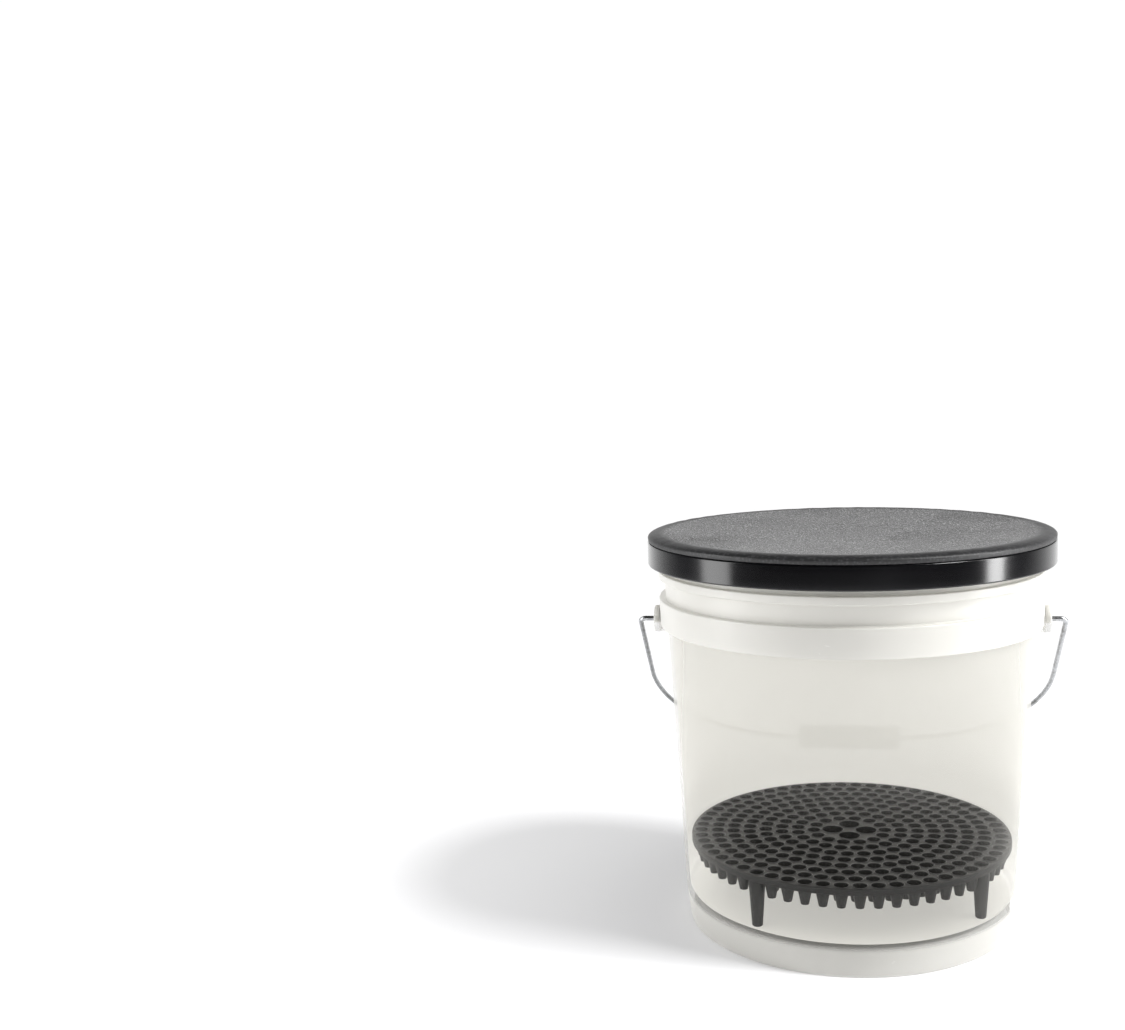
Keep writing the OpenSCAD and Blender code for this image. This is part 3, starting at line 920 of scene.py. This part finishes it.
class BUCKET_OT_lid(bpy.types.Operator):
    """Makes the lid shell: a skirt, a plate, a plug ring, ribs, a hub and screw bosses"""

    bl_idname = "bucket.lid"
    bl_label = "Lid shell"

    def execute(self, context):
        s = context.scene.bucket_lid
        low, high, edge = SHELL_LOW.z / MM, SHELL_HIGH.z / MM, SHELL_HIGH.x / MM
        t = s.thickness / MM
        plate = GASKET_HIGH.z / MM
        skirt = SKIRT_Z / MM
        body = turned_line([
            (0, plate, 0), (60, plate, 0), (141.8, plate, 1.5), (141.8, low, .5), (143.2, low, .5),
            (144.2, low + 2, 1), (144.2, plate, 1), (edge - t, plate, 1.2), (edge - t, skirt, .7),
            (edge, skirt, 1.2), (edge, skirt + 6, 0), (edge, high - 6, 0), (edge, high, 1.1),
            (edge - t, high, .8), (edge - t, plate + t, 1.2), (60, plate + t, 0), (0, plate + t, 0),
        ], 4, 240)
        rib_line = [(-1, plate + .5), (-.8, plate - 9), (.8, plate - 9), (1, plate + .5)]
        rib_line = metres(rounded(rib_line, [0, .5, .5, 0], 3))
        rib = self.bar(rib_line, 15 * MM, 142.6 * MM)
        ribs = copies(*rib, (np.arange(8) + 0.5) * TAU / 8)
        hub = turned_line([(14, plate + .4, 0), (14, plate - 9, .6), (16, plate - 9, .6),
                           (16, plate + .4, 0)], 3, 64)
        boss = turned_line([(2.03, plate + .4, 0), (2.03, plate - 3, .3), (7, plate - 3, .8),
                            (7, plate + .4, 0)], 3, 40)
        bosses = copies(*moved(boss, (90 * MM, 0, 0)), (np.arange(4) + 0.5) * TAU / 4)
        material = moulded_material("gloss shell", (0.0035, 0.0035, 0.0042), 0.17, grain=400.0,
                                    depth=0.003, scuffs=0.25, dark=1.6,
                                    scuff_colour=(0.05, 0.05, 0.05))[0]
        make_piece("lid_body", joined(body, ribs, hub, bosses), "lid", [material],
                   ["lid_shell"])
        repaint("lid_gasket", rubber_material("gasket rubber"))
        steel = plated_material("screw zinc", 1200.0)
        for node in ("lid_screws", "lid_washers", "cover_staples"):
            repaint(node, steel)
        repaint("seat_board", board_material("hardboard"))
        return {"FINISHED"}

    def bar(self, outline, start, end):
        """An outline of (across, up) points carried along +X, with its ends drawn in to a point."""
        middle = outline.mean(0)
        rings = np.stack([outline * 0 + middle, outline, outline, outline * 0 + middle])
        x = np.array([start, start, end, end])[:, None, None]
        verts = np.concatenate([np.broadcast_to(x, rings.shape[:2] + (1,)), rings], 2)
        return verts.reshape(-1, 3), grid_faces(4, len(outline))


class BUCKET_OT_pad(bpy.types.Operator):
    """Makes the seat pad: a stretched grained cover with a rolled edge, and its dished foam"""

    bl_idname = "bucket.pad"
    bl_label = "Seat pad"

    def execute(self, context):
        s = context.scene.bucket_lid
        self.dish = s.dish
        cover = self.line(0)
        lining = self.line(1 * MM)[::-1]
        around = 240
        verts, faces = turned(np.concatenate([cover, lining]), around)
        verts = self.pulled(verts)
        piece = make_piece("pad_cover", (verts, faces), "lid",
                           [vinyl_material("grained vinyl", s.colour)], ["seat_cover"])

        gap = 1.6 * MM
        top = self.line(gap)[FOLD_POINTS:]
        board = BOARD_HIGH.z + 0.2 * MM
        start = np.array([(0, board), (BOARD_HIGH.x + 0.3 * MM, board),
                          (BOARD_HIGH.x + 0.3 * MM, BOARD_LOW.z + 0.6 * MM),
                          (top[0, 0], BOARD_LOW.z + 0.6 * MM)])
        shape = turned(np.concatenate([start, top]), 160, False)
        foam = make_piece("pad_foam", (self.pulled(shape[0]), shape[1]), "lid",
                          [foam_material("open-cell foam")], ["seat_foam"])
        return {"FINISHED"}

    def line(self, skin):
        """The cover's outline, `skin` inside its outer face, from the folded edge to the middle.

        It runs under the board, up the side, out over the shell's lip, round the roll, a quarter
        oval, and in to the middle along a parabola.
        """
        k = skin / MM
        base, lip = COVER_LOW.z / MM, SHELL_HIGH.z / MM
        side = SHELL_HIGH.x / MM - 3
        roll, top = COVER_HIGH.x / MM - k, COVER_HIGH.z / MM - k
        roll_z = lip + 3.2
        fold = [(136, base + k), (145, base + k), (side - k - 1.4, base + k),
                (side - k - .4, base + k + .4), (side - k, base + 1.4 + k)]
        over = [(side - k, lip - .2), (side - k + .1, lip + .2 + k), (roll - .9, lip + .35 + k),
                (roll - .2, lip + .9 + k)]
        a = np.radians(np.linspace(0, 90, 12))
        bead = np.stack([CROWN + (roll - CROWN) * np.cos(a), roll_z + (top - roll_z) * np.sin(a)], 1)
        r = CROWN * (1 - np.linspace(0, 1, 34)[1:] ** 1.15)
        bowl = np.stack([r, top - self.dish / MM * (1 - (r / CROWN) ** 2)], 1)
        return metres(np.concatenate([fold, over, bead, bowl]))

    def pulled(self, verts):
        """The small unevenness of a hand-stretched cover.

        The height changes by 0.35 mm in three slow waves over the dish. The roll has shallow
        puckers, 46 round the edge and uneven in depth, that fade within 14 mm inwards.
        """
        x, y, z = verts.T
        r, a = np.hypot(x, y), np.arctan2(y, x)
        crown = CROWN * MM
        upper = np.clip((z - SHELL_HIGH.z - 1 * MM) / (2 * MM), 0, 1)
        inner = np.clip(1 - (r / crown) ** 4, 0, 1)
        slow = np.sin(3 * a + 0.7) * r / crown + 0.7 * np.sin(x / 0.043 + 1.1) * np.cos(y / 0.051)
        rolled = np.exp(-(((r - 155 * MM) / (6.5 * MM)) ** 2))
        pucker = np.sin(46 * a + 1.3 * np.sin(5 * a)) * (0.55 + 0.45 * np.sin(7 * a + 2))
        lift = upper * (0.35 * MM * inner * slow + 0.13 * MM * rolled * pucker)
        return np.stack([x, y, z + lift], 1)


class BUCKET_OT_studio(bpy.types.Operator):
    """Makes the floor, the backdrop, the soft lights and the camera"""

    bl_idname = "bucket.studio"
    bl_label = "Studio"

    def execute(self, context):
        s = context.scene.bucket_studio
        scene = context.scene
        scene.view_settings.view_transform = "Standard"
        self.floor()
        self.surroundings(scene)
        aim = (0, 0, 0.20)
        self.softbox("right light", (1.24, -0.21, 0.50), aim, (0.26, 1.0), s.key * 0.5)
        self.softbox("left light", (-1.20, -0.36, 0.45), aim, (0.44, 1.0), s.key * 0.3)
        self.sun(s)
        self.camera(scene, s)
        return {"FINISHED"}

    def floor(self):
        """A level disc of rings, whose radius grows by the square. It can't be seen from below."""
        r = 1.6 * np.linspace(0, 1, 24) ** 2
        profile = np.stack([r[::-1], r * 0], 1)
        verts, faces = turned(profile, 96, False)
        mesh = bpy.data.meshes.new("floor")
        mesh.from_pydata(verts.tolist(), [], faces.tolist())
        mesh.validate()
        made, tree, shader, where = new_material("studio floor")
        cloud = noise(tree, where, 3.0, 2.0)
        tone = between(tree, cloud, (0.80, 0.80, 0.81, 1), (0.83, 0.83, 0.835, 1))
        seen = calc(tree, "SUBTRACT", 1.0, add(tree, "NewGeometry", "Backfacing"))
        wire_up(tree, shader, {
            "Base Color": tone,
            "Roughness": 0.9,
            "Specular IOR Level": 0.0,
            "Alpha": seen,
        })
        mesh.materials.append(made)
        in_scene("floor", mesh)

    def surroundings(self, scene):
        """A white room to the eye, and to reflections a room dark in front and pale behind."""
        world = bpy.data.worlds.new("studio")
        scene.world = world
        world.use_nodes = True
        tree = world.node_tree
        tree.nodes.clear()
        path = tree.nodes.new("ShaderNodeLightPath").outputs
        toward = add(tree, "TexCoord", "Generated")
        toward = add(tree, "SeparateXYZ", Vector=toward)
        depth, rise = (toward.node.outputs[axis] for axis in "YZ")
        room = spread(tree, depth, 0.2, 0.95, 0.005, 1.35)
        room = times(tree, room, spread(tree, rise, 0.18, 0.60, 1.0, 0.06))
        mirror = add(tree, "CombineColor", Red=room, Green=room, Blue=room)
        sky = plus(tree, spread(tree, rise, 0.0, 0.9, 0.38, 0.78),
                   spread(tree, depth, -0.3, 0.6, 0.0, 0.15))
        sky = add(tree, "CombineColor", Red=sky, Green=sky, Blue=sky)
        colour = between(tree, path["Is Glossy Ray"], sky, mirror)
        colour = between(tree, path["Is Camera Ray"], colour, (1.02, 1.02, 1.02, 1))
        light = tree.nodes.new("ShaderNodeBackground")
        tree.links.new(colour, light.inputs["Color"])
        out = tree.nodes.new("ShaderNodeOutputWorld")
        tree.links.new(light.outputs[0], out.inputs["Surface"])

    def sun(self, s):
        lamp = bpy.data.lights.new("key light", "SUN")
        lamp.energy, lamp.angle = s.sun, math.radians(16)
        holder = in_scene("key light", lamp)
        holder.rotation_euler = Vector((0.80, -0.22, 0.95)).to_track_quat("Z", "Y").to_euler()

    def softbox(self, name, at, aim, size, power):
        lamp = bpy.data.lights.new(name, "AREA")
        lamp.shape, lamp.size, lamp.size_y, lamp.energy = "RECTANGLE", *size, power
        holder = in_scene(name, lamp)
        holder.location = at
        holder.rotation_euler = (Vector(aim) - Vector(at)).to_track_quat("-Z", "Y").to_euler()

    def camera(self, scene, s):
        """The eye is level with the pail's upper half and turned a little left, down and over."""
        yaw, pitch, roll = (math.radians(a) for a in (8.98, 8.72, -1.60))
        flat = math.cos(pitch)
        ahead = Vector((-math.sin(yaw) * flat, math.cos(yaw) * flat, -math.sin(pitch)))
        level = Vector((math.cos(yaw), math.sin(yaw), 0))
        upright = level.cross(ahead)
        right = math.cos(roll) * level + math.sin(roll) * upright
        up = -math.sin(roll) * level + math.cos(roll) * upright
        lens = bpy.data.cameras.new("camera")
        lens.sensor_width, lens.lens = 36, 43.808
        lens.shift_x, lens.shift_y = -0.064, 0.05
        eye = in_scene("camera", lens)
        turn = Matrix((right, up, -ahead)).transposed().to_4x4()
        eye.matrix_world = Matrix.Translation((0, -s.distance, s.height)) @ turn
        scene.camera = eye


class BUCKET_PT_panel(bpy.types.Panel):
    """Lists the bucket's pieces and their settings"""

    bl_label = "Wash bucket"
    bl_idname = "BUCKET_PT_panel"
    bl_space_type = "VIEW_3D"
    bl_region_type = "UI"
    bl_category = "Wash bucket"

    def draw(self, context):
        for name, kind in SETTINGS.items():
            box = self.layout.box()
            for key in kind.__annotations__:
                box.prop(getattr(context.scene, name), key)
        for operator in OPERATORS:
            self.layout.operator(operator.bl_idname)


OPERATORS = (BUCKET_OT_studio, BUCKET_OT_pail, BUCKET_OT_guard, BUCKET_OT_bail, BUCKET_OT_lid,
             BUCKET_OT_pad)
CLASSES = (*SETTINGS.values(), *OPERATORS, BUCKET_PT_panel)


def register():
    for kind in CLASSES:
        bpy.utils.register_class(kind)
    for name, kind in SETTINGS.items():
        setattr(bpy.types.Scene, name, PointerProperty(type=kind))


def unregister():
    for name in SETTINGS:
        delattr(bpy.types.Scene, name)
    for kind in reversed(CLASSES):
        bpy.utils.unregister_class(kind)


def main():
    register()
    for made in (bpy.ops.bucket.studio, bpy.ops.bucket.pail, bpy.ops.bucket.guard,
                 bpy.ops.bucket.bail, bpy.ops.bucket.lid, bpy.ops.bucket.pad):
        made()


if __name__ == "__main__":
    main()
